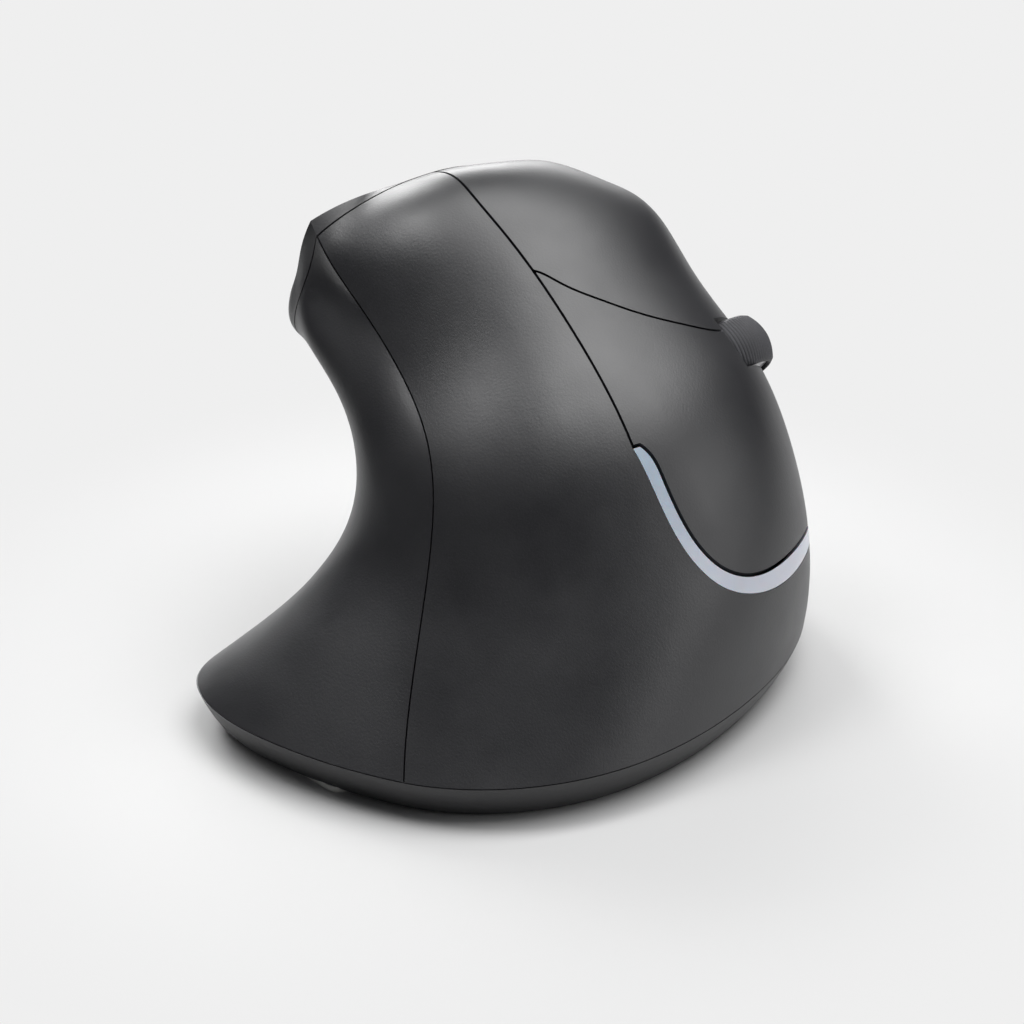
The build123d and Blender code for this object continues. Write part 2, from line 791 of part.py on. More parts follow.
# Rods, frame and click board
def lean_rod(place, bottom, top, radius):
    """Round rod square to the leaning plane, at a place (across, ahead)."""
    with BuildPart(mode=Mode.PRIVATE) as rod:
        with BuildSketch(lean_plane(bottom)):
            with Locations(place):
                Circle(radius)
        extrude(amount=top - bottom)
    return rod.part


frame_bottom = frame_top - frame_thickness
click_board_top = frame_top + click_board_thickness
switch_top = click_board_top + switch_high
board_top = board_bottom + board_thickness
guide_places = [(wheel_across - guide_offset, guide_forward), (wheel_across + guide_offset, guide_forward)]
hinge_lugs = []
for start, end, ahead in ((left_hinge_start, left_hinge_end, left_hinge_forward),
                          (right_hinge_start, right_hinge_end, right_hinge_forward)):
    hinge_lugs += [((start, start + hinge_lug), ahead), ((end - hinge_lug, end), ahead)]
frame_shares = [(-1.220, 0.080), (-1.220, 0.250), (-1.100, 0.400), (-1.000, 0.540), (-0.980, 0.700),
                (-0.660, 0.720), (-0.080, 0.720), (-0.080, 0.080)]
with BuildSketch(lean_plane(0)) as frame_face:
    with BuildLine():
        Polyline(*lean_points(frame_shares), close=True)
    make_face()
    with Locations((wheel_across, fork_rear + overrun / 2)):
        Rectangle(wheel_width + 2 * fork_gap, overrun, mode=Mode.SUBTRACT)
with BuildSketch(lean_plane(0)) as click_board_face:
    add(frame_face.sketch)
    offset(amount=-click_board_inset)
    with BuildSketch(lean_plane(0), mode=Mode.INTERSECT):
        with Locations((0, click_board_rear + overrun / 2)):
            Rectangle(4 * overrun, overrun)
        with Locations((wheel_across, middle_switch_forward)):
            Rectangle(middle_switch_side + 2 * click_board_inset, middle_switch_side + 2 * click_board_inset)
with BuildPart() as room:
    add(inner_skin(wall + part_clearance))
with BuildPart() as frame_solid:
    add(extrude(frame_face.sketch.moved(Location(lean_out * frame_bottom)), amount=frame_thickness,
                dir=lean_out))
    for place in legs:
        add(upright_rod(place, board_top, height, leg_radius))
    add(lean_box((-4 * overrun, 4 * overrun), (-4 * overrun, 4 * overrun), (frame_top, 4 * overrun)),
        mode=Mode.SUBTRACT)
    for across, ahead in hinge_lugs:
        add(lean_box(across, around(ahead, 2 * hinge_knuckle_radius), (frame_bottom, hinge_out)))
        add(cross_rod(across, ahead, hinge_out, hinge_knuckle_radius))
        add(cross_rod(across, ahead, hinge_out, hinge_pin_radius + press_clearance), mode=Mode.SUBTRACT)
    for place in guide_places:
        add(lean_rod(place, frame_bottom, guide_post_top, guide_post_radius))
with BuildPart() as button_frame:
    add(frame_solid.part)
    add(room.part, mode=Mode.INTERSECT)
with BuildPart() as click_board:
    add(extrude(click_board_face.sketch.moved(Location(lean_out * frame_top)), amount=click_board_thickness,
                dir=lean_out))
    for place in guide_places:
        add(lean_rod(place, frame_bottom, guide_post_top, guide_post_radius + touch_clearance),
            mode=Mode.SUBTRACT)
    add(room.part, mode=Mode.INTERSECT)
with BuildPart() as indicator_led:
    add(lean_box(around(led_across, led_wide), around(led_forward, led_long),
                 (click_board_top, click_board_top + led_high)))


# Click switches and their plungers
def click_switch(place, side, ahead, top):
    """Switch body on the click board with the bore of its plunger."""
    with BuildPart(mode=Mode.PRIVATE) as switch:
        add(lean_box(around(place[0], side), around(place[1], ahead), (click_board_top, top)))
        add(lean_rod(place, top - plunger_sink - plunger_room, top, plunger_radius + running_clearance),
            mode=Mode.SUBTRACT)
    return switch.part


def click_plunger(place, top):
    """Plunger that stands out of a click switch."""
    return lean_rod(place, top - plunger_sink, top + plunger_high, plunger_radius)


left_switch_place = (left_switch_across, switch_forward)
right_switch_place = (right_switch_across, switch_forward)
middle_switch_place = (wheel_across, middle_switch_forward)
middle_switch_top = click_board_top + middle_switch_high
with BuildPart() as left_click_switch:
    add(click_switch(left_switch_place, switch_wide, switch_long, switch_top))
with BuildPart() as right_click_switch:
    add(click_switch(right_switch_place, switch_wide, switch_long, switch_top))
with BuildPart() as middle_click_switch:
    add(click_switch(middle_switch_place, middle_switch_side, middle_switch_side, middle_switch_top))
with BuildPart() as left_click_plunger:
    add(click_plunger(left_switch_place, switch_top))
with BuildPart() as right_click_plunger:
    add(click_plunger(right_switch_place, switch_top))
with BuildPart() as middle_click_plunger:
    add(click_plunger(middle_switch_place, middle_switch_top))

# Wheel cradle, which slides on the guide posts
arm_inner = wheel_width / 2 + arm_gap
arm_outer = arm_inner + arm_thickness
left_arm = (wheel_across - arm_outer, wheel_across - arm_inner)
right_arm = (wheel_across + arm_inner, wheel_across + arm_outer)
tongue_bottom = middle_switch_top + plunger_high + touch_clearance
with BuildPart() as wheel_cradle:
    add(lean_box(around(wheel_across, 2 * bridge_half_width), around(guide_forward, bridge_long),
                 (bridge_bottom, arm_top)))
    for arm in (left_arm, right_arm):
        add(lean_box(arm, (guide_forward, arm_end), (arm_bottom, arm_top)))
        add(cross_rod(arm, wheel_forward, wheel_out, axle_radius + press_clearance), mode=Mode.SUBTRACT)
    add(lean_box(around(wheel_across, tongue_wide), (tongue_start, guide_forward), (tongue_bottom, arm_top)))
    for place in guide_places:
        add(lean_rod(place, frame_bottom, guide_post_top, guide_post_radius + running_clearance),
            mode=Mode.SUBTRACT)
with BuildPart() as wheel_axle:
    add(cross_rod((left_arm[0], right_arm[1]), wheel_forward, wheel_out, axle_radius))
with BuildPart() as wheel_encoder:
    add(lean_box((right_arm[1], right_arm[1] + encoder_thick), around(wheel_forward, encoder_side),
                 (encoder_bottom, wheel_out + encoder_rise)))

# Scroll wheel, turned about its axle, sketched along the axle and outward from it
wheel_centre = lean_point(wheel_across, wheel_forward, wheel_out)
wheel_plane = Plane(origin=wheel_centre, x_dir=lean_across, z_dir=forward)
wheel_axis = Axis(wheel_centre, lean_across)
bore_radius = axle_radius + running_clearance


def band(half_long, low, high):
    """Rectangle centred along the axle, between two radii."""
    with Locations((0, (low + high) / 2)):
        Rectangle(2 * half_long, high - low)


with BuildPart() as scroll_wheel_hub:
    with BuildSketch(wheel_plane):
        band(wheel_width / 2 - hub_face_depth, bore_radius, hub_radius)
        band(arm_inner - touch_clearance, bore_radius, hub_boss_radius)
        for side in (-1, 1):
            with Locations((side * (wheel_width / 2 - hub_face_depth - hub_groove_depth / 2),
                            hub_groove_radius)):
                Rectangle(hub_groove_depth, hub_groove_width, mode=Mode.SUBTRACT)
    revolve(axis=wheel_axis)
with BuildPart() as scroll_wheel_tyre:
    with BuildSketch(wheel_plane):
        with BuildLine():
            edge = wheel_radius - wheel_barrel
            foot = hub_radius + press_clearance
            ThreePointArc((-wheel_width / 2, edge), (0, wheel_radius), (wheel_width / 2, edge))
            Polyline((wheel_width / 2, edge), (wheel_width / 2, foot), (-wheel_width / 2, foot),
                     (-wheel_width / 2, edge))
        make_face()
    revolve(axis=wheel_axis)


# Side buttons, their switches and their board
def side_button(ahead):
    """Thumb button whose outer face follows the housing, with a flange along its long sides."""
    with BuildPart(mode=Mode.PRIVATE) as cap:
        add(side_box(around(ahead, side_button_length), around(0, side_button_width),
                     (-side_board_face, side_flange_back), side_button_width / 2 - side_button_gap))
        add(proud.part, mode=Mode.INTERSECT)
        add(side_box(around(ahead, side_button_length - side_button_width),
                     around(0, side_button_width + 2 * side_flange), (side_flange_depth, side_flange_back)))
    return cap.part


def side_switch(ahead):
    """Small switch behind a thumb button, with the bore of its plunger."""
    with BuildPart(mode=Mode.PRIVATE) as switch:
        add(side_box(around(ahead, side_switch_long), around(0, side_switch_wide),
                     (side_switch_top, side_board_face)))
        add(side_rod(ahead, (side_switch_top, side_switch_top + plunger_sink + plunger_room),
                     side_plunger_radius + running_clearance), mode=Mode.SUBTRACT)
    return switch.part


def side_plunger(ahead):
    """Plunger of a thumb button's switch."""
    return side_rod(ahead, (side_plunger_tip, side_switch_top + plunger_sink), side_plunger_radius)


with BuildPart() as side_button_front:
    add(side_button(side_places["front"]))
with BuildPart() as side_button_rear:
    add(side_button(side_places["rear"]))
with BuildPart() as side_switch_front:
    add(side_switch(side_places["front"]))
with BuildPart() as side_switch_rear:
    add(side_switch(side_places["rear"]))
with BuildPart() as side_plunger_front:
    add(side_plunger(side_places["front"]))
with BuildPart() as side_plunger_rear:
    add(side_plunger(side_places["rear"]))
with BuildPart() as side_button_board:
    add(side_box(around(0, 2 * (side_post_place + side_board_post_radius)), around(0, side_board_width),
                 (side_board_face, side_board_face + side_board_thickness)))
    add(room.part, mode=Mode.INTERSECT)


# Base
def base_solid(levels):
    """Dish between outlines that are each inset from the crease's outline, at their levels."""
    rings = []
    for inset, level in levels:
        row = pushed(inset)[0]
        row[:, 2] = level
        rings.append(ring(row))
    return Solid.make_loft(rings)


skate_top = base_foot + skate_depth
screw_head_top = base_foot + screw_head_depth
screw_head_bottom = screw_head_top - screw_head_height
screw_places = main_bosses + thumb_bosses
front_skate_share = 0.69
rear_skate_shares = (-0.080, -0.842)
skate_places = {"front": (0, front_skate_share * half_length),
                "rear": (rear_skate_shares[0] * half_width, rear_skate_shares[1] * half_length)}
skate_lengths = {"front": front_skate_long, "rear": rear_skate_long}


def skate_pad(name, bottom, top, spare):
    """Rounded pad at a skate's place, grown by a clearance."""
    with BuildPart(mode=Mode.PRIVATE) as pad:
        with BuildSketch(Plane.XY.offset(bottom)):
            with Locations(skate_places[name]):
                SlotOverall(skate_lengths[name] + 2 * spare, skate_wide + 2 * spare)
        extrude(amount=top - bottom)
    return pad.part


with BuildPart() as bottom_case:
    add(base_solid([(0, crease_height), (base_middle_inset, base_middle), (base_foot_inset, base_foot)]))
    add(base_solid([(wall, crease_height), (wall + base_middle_inset, base_middle + base_room_rise),
                    (wall + base_foot_inset, floor_top)]), mode=Mode.SUBTRACT)
    for place in screw_places:
        add(upright_rod(place, base_foot, post_top, post_radius))
    for place in legs:
        add(upright_rod(place, base_foot, board_bottom, board_post_radius))
    for place in screw_places:
        add(upright_rod(place, 0, screw_head_top, screw_head_radius + screw_play), mode=Mode.SUBTRACT)
        add(upright_rod(place, 0, crease_height, screw_radius + screw_play), mode=Mode.SUBTRACT)
    for name in skate_places:
        add(skate_pad(name, 0, skate_top, touch_clearance), mode=Mode.SUBTRACT)
    add(upright_box(around(0, sensor_window_side), around(sensor_forward, sensor_window_side), (0, height)),
        mode=Mode.SUBTRACT)
    add(upright_box(around(power_across, power_slot_wide), around(power_forward, power_slot_long),
                    (0, height)), mode=Mode.SUBTRACT)
    add(upright_rod((mode_across, mode_forward), 0, height, mode_radius + part_clearance),
        mode=Mode.SUBTRACT)
with BuildPart() as front_skate:
    add(skate_pad("front", 0, skate_top, 0))
with BuildPart() as rear_skate:
    add(skate_pad("rear", 0, skate_top, 0))
with BuildPart() as case_screws:
    for place in screw_places:
        add(upright_rod(place, screw_head_bottom, screw_head_top, screw_head_radius))
        add(upright_rod(place, screw_head_bottom, screw_end, screw_radius))

# Main board and what it carries
with BuildPart() as main_board:
    add(upright_box((board_left, board_right), (board_rear, board_front), (board_bottom, board_top)))
    add(upright_box(around(port_across, port_wide), (board_front, port_shelf_front),
                    (board_bottom, board_top)))
with BuildPart() as battery:
    with BuildSketch(Plane.XY.offset(board_top + battery_gap)):
        with Locations(((board_left + board_right) / 2, battery_forward)):
            RectangleRounded(battery_wide, battery_long, battery_high / 2 - battery_gap)
    extrude(amount=battery_high)
with BuildPart() as optical_sensor:
    add(upright_box(around(0, sensor_side), around(sensor_forward, sensor_side),
                    (board_bottom - sensor_high, board_bottom)))
with BuildPart() as sensor_lens:
    add(upright_box(around(0, lens_side), around(sensor_forward, lens_side),
                    (lens_bottom, lens_bottom + lens_high)))
port_bottom = board_top
with BuildPart() as usb_c_port:
    with BuildSketch(Plane.XZ.offset(-port_front)):
        with Locations((port_across, port_bottom + port_high / 2)):
            RectangleRounded(port_wide, port_high, port_high / 2 - port_wall)
            RectangleRounded(port_wide - 2 * port_wall, port_high - 2 * port_wall,
                             port_high / 2 - 2 * port_wall, mode=Mode.SUBTRACT)
            Rectangle(port_tongue_wide, port_tongue_high)
    extrude(amount=port_long)
    add(upright_box(around(port_across, port_wide - 2 * port_wall),
                    (port_front - port_long, port_front - port_long + port_wall),
                    around(port_bottom + port_high / 2, port_high - 2 * port_wall)))

# Power slider in its slot, and the mode button
slot_play = part_clearance
power_head_long = power_slot_long - power_travel - 2 * slot_play
power_head_wide = power_slot_wide - 2 * slot_play
flange_bottom = floor_top + floor_clearance
power_flange_top = flange_bottom + power_flange_high
power_switch_bottom = board_bottom - power_switch_high
power_groove_long = power_stem_wide + power_travel + 2 * slot_play
with BuildPart() as power_knob:
    place = (power_across, power_forward)
    add(upright_box(around(place[0], power_head_wide), around(place[1], power_head_long),
                    (base_foot + head_rise, power_flange_top)))
    add(upright_box(around(place[0], power_slot_wide + 2 * power_flange), around(place[1], power_slot_long),
                    (flange_bottom, power_flange_top)))
    add(upright_box(around(place[0], power_stem_wide), around(place[1], power_stem_wide),
                    (flange_bottom, power_switch_bottom + power_switch_high / 2)))
    for step in (-1, 0, 1):
        add(upright_box(around(place[0], power_head_wide),
                        around(place[1] + step * 2 * knob_rib_long, knob_rib_long),
                        (base_foot + head_rise - knob_rib_high / 2, flange_bottom)))
with BuildPart() as power_switch:
    add(upright_box(around(power_across, power_slot_wide + 2 * power_flange),
                    around(power_forward, power_slot_long + power_flange),
                    (power_switch_bottom, board_bottom)))
    add(upright_box(around(power_across, power_stem_wide + 2 * slot_play),
                    around(power_forward, power_groove_long),
                    (power_switch_bottom, power_switch_bottom + power_switch_high / 2 + slot_play)),
        mode=Mode.SUBTRACT)
mode_place = (mode_across, mode_forward)
tact_bottom = board_bottom - tact_high
tact_tip = tact_bottom - tact_plunger_high
with BuildPart() as mode_button:
    add(upright_rod(mode_place, base_foot + head_rise, flange_bottom + power_flange_high, mode_radius))
    add(upright_rod(mode_place, flange_bottom, flange_bottom + power_flange_high,
                    mode_radius + mode_flange))
    add(upright_rod(mode_place, flange_bottom, tact_tip - touch_clearance, mode_stem_radius))
with BuildPart() as mode_switch:
    add(upright_box(around(mode_across, tact_side), around(mode_forward, tact_side),
                    (tact_bottom, board_bottom)))
    add(upright_rod(mode_place, tact_bottom, tact_bottom + tact_high / 2 + mode_travel,
                    tact_plunger_radius + running_clearance), mode=Mode.SUBTRACT)
with BuildPart() as mode_plunger:
    add(upright_rod(mode_place, tact_tip, tact_bottom + tact_high / 3, tact_plunger_radius))

# Labels and files
main_cover.part.label = "main_cover"
export_step(main_cover.part, "parts/main_cover.step")
front_trim.part.label = "front_trim"
export_step(front_trim.part, "parts/front_trim.step")
thumb_cover.part.label = "thumb_cover"
export_step(thumb_cover.part, "parts/thumb_cover.step")
thumb_panel.part.label = "thumb_panel"
export_step(thumb_panel.part, "parts/thumb_panel.step")
left_button.part.label = "left_button"
export_step(left_button.part, "parts/left_button.step")
right_button.part.label = "right_button"
export_step(right_button.part, "parts/right_button.step")
light_strip.part.label = "light_strip"
export_step(light_strip.part, "parts/light_strip.step")
indicator_led.part.label = "indicator_led"
export_step(indicator_led.part, "parts/indicator_led.step")
left_hinge_pin.part.label = "left_hinge_pin"
export_step(left_hinge_pin.part, "parts/left_hinge_pin.step")
right_hinge_pin.part.label = "right_hinge_pin"
export_step(right_hinge_pin.part, "parts/right_hinge_pin.step")
button_frame.part.label = "button_frame"
export_step(button_frame.part, "parts/button_frame.step")
click_board.part.label = "click_board"
export_step(click_board.part, "parts/click_board.step")
left_click_switch.part.label = "left_click_switch"
export_step(left_click_switch.part, "parts/left_click_switch.step")
right_click_switch.part.label = "right_click_switch"
export_step(right_click_switch.part, "parts/right_click_switch.step")
middle_click_switch.part.label = "middle_click_switch"
export_step(middle_click_switch.part, "parts/middle_click_switch.step")
left_click_plunger.part.label = "left_click_plunger"
export_step(left_click_plunger.part, "parts/left_click_plunger.step")
right_click_plunger.part.label = "right_click_plunger"
export_step(right_click_plunger.part, "parts/right_click_plunger.step")
middle_click_plunger.part.label = "middle_click_plunger"
export_step(middle_click_plunger.part, "parts/middle_click_plunger.step")
wheel_cradle.part.label = "wheel_cradle"
export_step(wheel_cradle.part, "parts/wheel_cradle.step")
scroll_wheel_hub.part.label = "scroll_wheel_hub"
export_step(scroll_wheel_hub.part, "parts/scroll_wheel_hub.step")
scroll_wheel_tyre.part.label = "scroll_wheel_tyre"
export_step(scroll_wheel_tyre.part, "parts/scroll_wheel_tyre.step")
wheel_axle.part.label = "wheel_axle"
export_step(wheel_axle.part, "parts/wheel_axle.step")
wheel_encoder.part.label = "wheel_encoder"
export_step(wheel_encoder.part, "parts/wheel_encoder.step")
side_button_front.part.label = "side_button_front"
export_step(side_button_front.part, "parts/side_button_front.step")
side_button_rear.part.label = "side_button_rear"
export_step(side_button_rear.part, "parts/side_button_rear.step")
side_plunger_front.part.label = "side_plunger_front"
export_step(side_plunger_front.part, "parts/side_plunger_front.step")
side_plunger_rear.part.label = "side_plunger_rear"
export_step(side_plunger_rear.part, "parts/side_plunger_rear.step")
side_switch_front.part.label = "side_switch_front"
export_step(side_switch_front.part, "parts/side_switch_front.step")
side_switch_rear.part.label = "side_switch_rear"
export_step(side_switch_rear.part, "parts/side_switch_rear.step")
side_button_board.part.label = "side_button_board"
export_step(side_button_board.part, "parts/side_button_board.step")
bottom_case.part.label = "bottom_case"
export_step(bottom_case.part, "parts/bottom_case.step")
front_skate.part.label = "front_skate"
export_step(front_skate.part, "parts/front_skate.step")
rear_skate.part.label = "rear_skate"
export_step(rear_skate.part, "parts/rear_skate.step")
case_screws.part.label = "case_screws"
export_step(case_screws.part, "parts/case_screws.step")
main_board.part.label = "main_board"
export_step(main_board.part, "parts/main_board.step")
optical_sensor.part.label = "optical_sensor"
export_step(optical_sensor.part, "parts/optical_sensor.step")
sensor_lens.part.label = "sensor_lens"
export_step(sensor_lens.part, "parts/sensor_lens.step")
battery.part.label = "battery"
export_step(battery.part, "parts/battery.step")
usb_c_port.part.label = "usb_c_port"
export_step(usb_c_port.part, "parts/usb_c_port.step")
power_switch.part.label = "power_switch"
export_step(power_switch.part, "parts/power_switch.step")
power_knob.part.label = "power_knob"
export_step(power_knob.part, "parts/power_knob.step")
mode_button.part.label = "mode_button"
export_step(mode_button.part, "parts/mode_button.step")
mode_switch.part.label = "mode_switch"
export_step(mode_switch.part, "parts/mode_switch.step")
mode_plunger.part.label = "mode_plunger"
export_step(mode_plunger.part, "parts/mode_plunger.step")
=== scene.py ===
import json
import math

import bmesh
import bpy
import numpy as np
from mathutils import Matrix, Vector


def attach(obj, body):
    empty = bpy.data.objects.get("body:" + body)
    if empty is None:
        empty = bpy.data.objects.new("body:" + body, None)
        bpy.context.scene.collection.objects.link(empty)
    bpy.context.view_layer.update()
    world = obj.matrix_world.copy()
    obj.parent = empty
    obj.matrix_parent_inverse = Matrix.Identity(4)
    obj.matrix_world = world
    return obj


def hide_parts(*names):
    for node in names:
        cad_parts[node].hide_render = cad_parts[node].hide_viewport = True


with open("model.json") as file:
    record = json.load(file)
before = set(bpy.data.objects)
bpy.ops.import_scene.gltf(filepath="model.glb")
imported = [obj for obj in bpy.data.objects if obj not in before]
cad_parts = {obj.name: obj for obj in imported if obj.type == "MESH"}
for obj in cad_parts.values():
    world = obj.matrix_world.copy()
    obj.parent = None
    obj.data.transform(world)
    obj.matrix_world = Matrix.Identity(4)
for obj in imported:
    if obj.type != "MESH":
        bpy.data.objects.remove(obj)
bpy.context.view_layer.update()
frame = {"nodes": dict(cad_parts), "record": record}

MM = 0.001
MM_PER_METRE = 1000
CREASE_DEGREES = 28.0
JOIN_DISTANCE = 0.0005 * MM


# Shapes
def ring_surface(name, points):
    """A closed mesh over a grid of points: rows along the first index, columns round the second.

    Each row joins the next and the last joins the first, and so do the columns, so the grid wraps
    into a ring.
    """
    rows, columns = points.shape[:2]
    index = np.arange(rows * columns).reshape(rows, columns)
    right = np.roll(index, -1, axis=1)
    above = np.roll(index, -1, axis=0)
    corner = np.roll(above, -1, axis=1)
    quads = np.stack([index, right, corner, above], axis=-1)
    mesh = bpy.data.meshes.new(name)
    mesh.from_pydata(points.reshape(-1, 3).tolist(), [], quads.reshape(-1, 4).tolist())
    mesh.shade_smooth()
    made = bpy.data.objects.new(name, mesh)
    bpy.context.scene.collection.objects.link(made)
    return made


def smooth_copy(node, name):
    """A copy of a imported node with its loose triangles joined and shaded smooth.

    Edges that turn by more than the crease angle stay crisp.
    """
    mesh = frame["nodes"][node].data.copy()
    mesh.name = name
    shape = bmesh.new()
    shape.from_mesh(mesh)
    bmesh.ops.remove_doubles(shape, verts=shape.verts, dist=JOIN_DISTANCE)
    crease = math.radians(CREASE_DEGREES)
    for face in shape.faces:
        face.smooth = True
    for line in shape.edges:
        line.smooth = len(line.link_faces) == 2 and line.calc_face_angle(0.0) < crease
    shape.to_mesh(mesh)
    shape.free()
    mesh.materials.clear()
    made = bpy.data.objects.new(name, mesh)
    bpy.context.scene.collection.objects.link(made)
    return made


# Colours and nodes
def linear(hex_colour, alpha=1.0):
    """An sRGB hex colour as linear values."""
    parts = [int(hex_colour[place:place + 2], 16) / 255 for place in (1, 3, 5)]
    # The usual sRGB curve: a short straight foot, then a power.
    parts = [part / 12.92 if part <= 0.04045 else ((part + 0.055) / 1.055) ** 2.4 for part in parts]
    return (*parts, alpha)


def add(tree, kind, inputs=(), **settings):
    """Add a node with its settings; each input is a value or the output that feeds it."""
    made = tree.nodes.new(kind)
    for name, value in settings.items():
        setattr(made, name, value)
    for socket, value in dict(inputs).items():
        if isinstance(value, bpy.types.NodeSocket):
            tree.links.new(value, made.inputs[socket])
        else:
            made.inputs[socket].default_value = value
    return made


def material(name, surface_inputs):
    """An empty node material and its surface shader, with the values set on the shader itself."""
    made = bpy.data.materials.new(name)
    made.use_nodes = True
    tree = made.node_tree
    tree.nodes.clear()
    shader = add(tree, "ShaderNodeBsdfPrincipled", surface_inputs)
    add(tree, "ShaderNodeOutputMaterial", {"Surface": shader.outputs["BSDF"]})
    return made, tree, shader


def per_metre(size_mm):
    """Noise scale at which one feature is about this many millimetres wide."""
    return MM_PER_METRE / size_mm


def grain(tree, shader, grain_mm, depth_mm, colours, cloud_mm=14.0, rough=(0.36, 0.46)):
    """Fine moulded grain: a bump at the grain's size, and soft cloudy change of colour and gloss."""
    place = add(tree, "ShaderNodeTexCoord").outputs["Object"]
    pebble = add(tree, "ShaderNodeTexNoise", {"Vector": place, "Scale": per_metre(grain_mm), "Detail": 2.0,
                                              "Roughness": 0.55})
    cloud = add(tree, "ShaderNodeTexNoise", {"Vector": place, "Scale": per_metre(cloud_mm), "Detail": 3.0})
    bump = add(tree, "ShaderNodeBump", {"Height": pebble.outputs["Fac"], "Distance": depth_mm * MM,
                                        "Strength": 1.0})
    tree.links.new(bump.outputs["Normal"], shader.inputs["Normal"])
    mixed = add(tree, "ShaderNodeMath", {0: pebble.outputs["Fac"], 1: cloud.outputs["Fac"]},
                operation="MULTIPLY")
    colour = add(tree, "ShaderNodeMix", {0: mixed.outputs["Value"], 6: linear(colours[0]),
                                         7: linear(colours[1])}, data_type="RGBA")
    tree.links.new(colour.outputs[2], shader.inputs["Base Color"])
    gloss = add(tree, "ShaderNodeMapRange", {"Value": cloud.outputs["Fac"], "From Min": 0.3, "From Max": 0.7,
                                             "To Min": rough[0], "To Max": rough[1]})
    tree.links.new(gloss.outputs["Result"], shader.inputs["Roughness"])


def plastic(name, colours, grain_mm=0.35, depth_mm=0.012, rough=(0.36, 0.46), cloud_mm=14.0, shine=0.8):
    """Moulded plastic with a fine spark-eroded grain."""
    made, tree, shader = material(name, {"IOR": 1.5, "Specular IOR Level": shine})
    grain(tree, shader, grain_mm, depth_mm, colours, cloud_mm, rough)
    return made


# Graphite ABS, moulded in a spark-eroded tool: a satin face with grain that just sparkles.
# The real grain is about 0.1 mm; it is drawn at a third of a millimetre so that it shows.
graphite_abs = plastic("graphite_abs_moulded", ("#1A1A1D", "#28282B"), grain_mm=0.34, depth_mm=0.020)
# The same plastic on the flat head panel, from a slightly smoother tool.
panel_abs = plastic("graphite_abs_panel", ("#1D1D20", "#2A2A2D"), grain_mm=0.34, depth_mm=0.014,
                    rough=(0.34, 0.42))
# The base is the same resin from a coarser tool, and a touch darker in colour: painted shade for the band
# that turns under towards the floor.
base_abs = plastic("base_abs_moulded", ("#1A1A1C", "#262628"), grain_mm=0.45, depth_mm=0.012,
                   rough=(0.42, 0.52))
# Milky polycarbonate light guide: pale blue-grey, slightly see-through at its edge.
strip_polycarbonate, strip_tree, strip_shader = material("light_guide_polycarbonate_moulded", {
    "IOR": 1.58, "Subsurface Weight": 0.25, "Subsurface Scale": 0.6 * MM, "Coat Weight": 0.25,
    "Coat Roughness": 0.2})
strip_place = add(strip_tree, "ShaderNodeTexCoord").outputs["Object"]
strip_height = add(strip_tree, "ShaderNodeSeparateXYZ", {"Vector": strip_place})
# The colour runs from pale grey-lilac low down to a darker blue-grey high up, with a faint cloud over it.
strip_fade = add(strip_tree, "ShaderNodeMapRange", {"Value": strip_height.outputs["Z"], "From Min": 20 * MM,
                                                    "From Max": 46 * MM, "To Min": 0.0, "To Max": 1.0})
strip_cloud = add(strip_tree, "ShaderNodeTexNoise", {"Vector": strip_place, "Scale": per_metre(1.4),
                                                     "Detail": 2.0})
strip_soft = add(strip_tree, "ShaderNodeMath", {0: strip_cloud.outputs["Fac"], 1: 0.12}, operation="MULTIPLY")
strip_mix = add(strip_tree, "ShaderNodeMath", {0: strip_fade.outputs["Result"],
                                               1: strip_soft.outputs["Value"]},
                operation="ADD", use_clamp=True)
strip_colour = add(strip_tree, "ShaderNodeMix", {0: strip_mix.outputs["Value"], 6: linear("#C6C7D1"),
                                                 7: linear("#9FADBC")}, data_type="RGBA")
strip_tree.links.new(strip_colour.outputs[2], strip_shader.inputs["Base Color"])
strip_gloss = add(strip_tree, "ShaderNodeMapRange", {"Value": strip_cloud.outputs["Fac"], "To Min": 0.3,
                                                     "To Max": 0.42})
strip_tree.links.new(strip_gloss.outputs["Result"], strip_shader.inputs["Roughness"])
# Thermoplastic rubber of the tyre: matt, dark, with a faint bloom of dust in its ribs.
tyre_rubber = plastic("tyre_tpe_rubber_moulded", ("#3B3B3E", "#515155"), grain_mm=0.25, depth_mm=0.008,
                      rough=(0.55, 0.68), cloud_mm=4.0, shine=0.35)
# Pale grey hub: its pale tone is partly the hub's own colour and partly a painted highlight, standing in for
# the shine seen on the wheel's lower end.
hub_abs_and_painted_highlight = plastic("hub_abs_moulded_and_painted_highlight", ("#9A9A9C", "#ABABAD"), grain_mm=0.3, depth_mm=0.005, rough=(0.3, 0.4))
inner_abs = plastic("inner_abs_moulded", ("#1B1B1C", "#272728"), grain_mm=0.4, depth_mm=0.01,
                    rough=(0.5, 0.6))
knob_abs = plastic("knob_abs_moulded", ("#4A4A4C", "#5A5A5C"), grain_mm=0.3, depth_mm=0.008)
plunger_acetal = plastic("plunger_acetal_moulded", ("#B5462B", "#C4553A"), grain_mm=0.3, depth_mm=0.003,
                         rough=(0.25, 0.35))
